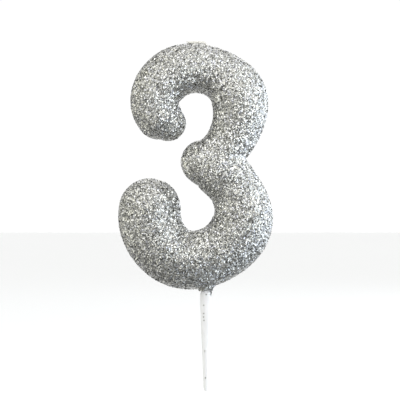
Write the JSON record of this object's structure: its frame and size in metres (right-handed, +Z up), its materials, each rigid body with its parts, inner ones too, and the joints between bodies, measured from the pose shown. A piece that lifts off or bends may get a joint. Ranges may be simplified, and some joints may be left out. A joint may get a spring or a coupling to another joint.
{
  "type": "number birthday candle",
  "caption": "Glitter-coated wax numeral three with a short cotton wick in its crest and a white plastic pick below that pushes into a cake.",
  "frame": {"origin": "on the pick's axis, at the top of its straight shank, just below the collar", "axes": "+Z up the numeral, -Z down the pick, +X to the right of a reader of the numeral, -Y towards the reader"},
  "size_m": [0.0443, 0.0162, 0.1],
  "materials": {
    "silver_glitter": "clear lacquer full of silver flakes",
    "wax": "matt paraffin wax",
    "cotton": "braided and waxed cotton",
    "white_plastic": "moulded, satin"
  },
  "bodies": {
    "root": {"wax_body": "wax", "glitter_coat": "silver_glitter", "wick": "cotton", "pick": "white_plastic", "pick_seal": "silver_glitter"}
  },
  "joints": []
}
